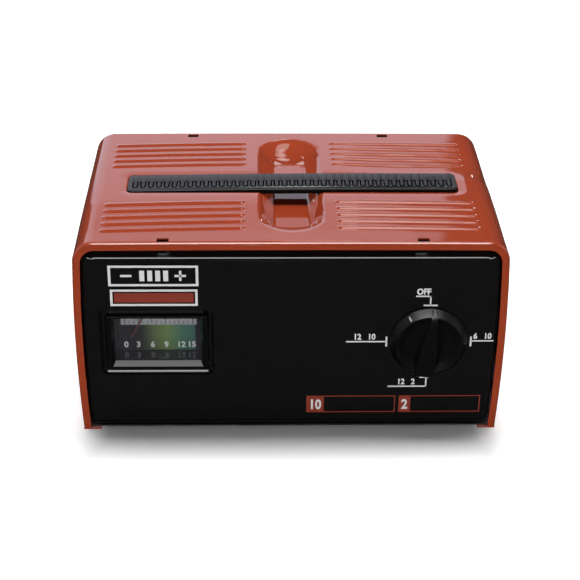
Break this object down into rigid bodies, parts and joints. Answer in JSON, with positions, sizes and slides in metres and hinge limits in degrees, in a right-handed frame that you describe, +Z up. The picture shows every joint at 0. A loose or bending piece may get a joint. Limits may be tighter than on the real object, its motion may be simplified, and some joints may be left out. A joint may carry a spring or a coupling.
{
  "type": "bench battery charger",
  "caption": "Bench battery charger: folded steel case with beaded top, carrying strap over a finger well, meter window and pointer knob on a black front panel.",
  "frame": {"origin": "on the surface the case stands on, midway between the side walls and between the knob's face and the inlet collars' ends, which is also midway between the front and rear rims", "axes": "+X to the right as seen from the front, +Y to the rear, +Z up; the front panel faces -Y"},
  "size_m": [0.2356, 0.1634, 0.1184],
  "materials": {
    "red_paint": "gloss",
    "black_paint": "satin",
    "zinc": "satin",
    "strap": "satin",
    "gloss_black": "gloss",
    "clear": "gloss",
    "scale_print": "matte",
    "brass": "satin",
    "steel": "satin",
    "copper": "gloss",
    "red_plastic": "matte",
    "white_plastic": "matte",
    "phenolic": "satin",
    "laminations": "matte",
    "nylon": "matte",
    "aluminium": "satin",
    "black_nylon": "satin",
    "wire_sleeve": "satin"
  },
  "bodies": {
    "case": {"cover": "red_paint", "front_panel": "black_paint", "rear_panel": "black_paint", "base_tray": "zinc", "meter_bezel": "gloss_black", "meter_lens": "clear", "meter_scale": "scale_print", "meter_housing": "gloss_black", "meter_frame": "brass", "meter_magnet": "steel", "meter_studs": "copper", "meter_clips": "zinc", "switch_housing": "phenolic", "switch_contacts": "brass", "switch_nut": "zinc", "transformer_core": "laminations", "bobbin": "nylon", "primary_winding": "copper", "secondary_winding": "copper", "transformer_frame": "zinc", "transformer_screws": "steel", "heat_sink": "aluminium", "rectifier_diodes": "steel", "heat_sink_screws": "steel", "circuit_breaker": "zinc", "terminal_block": "black_nylon", "terminal_screws": "brass", "mains_bushing": "black_nylon", "output_bushing": "black_nylon", "case_screws": "zinc", "panel_rivets": "zinc", "mains_wires": "wire_sleeve", "low_voltage_wires": "wire_sleeve"},
    "strap": {"handle_strap": "strap", "handle_retainers": "zinc"},
    "selector": {"selector_knob": "gloss_black", "knob_pointer": "white_plastic", "switch_rotor": "phenolic"},
    "needle": {"meter_needle": "red_plastic"}
  },
  "joints": [
    {"name": "handle_lift", "type": "slide", "parent": "case", "child": "strap", "axis": [0, 0, 1], "range_m": [0, 0.008]},
    {"name": "selector_turn", "type": "hinge", "parent": "case", "child": "selector", "pos_m": [0.0746, -0.0739, 0.0562], "axis": [0, 1, 0], "range_deg": [-96.5, 173.5]},
    {"name": "needle_swing", "type": "hinge", "parent": "case", "child": "needle", "pos_m": [-0.0723, -0.0607, 0.079], "axis": [0, -1, 0], "range_deg": [0, 58], "stiffness_Nm_per_rad": 0.001, "springref_deg": -5.73}
  ]
}
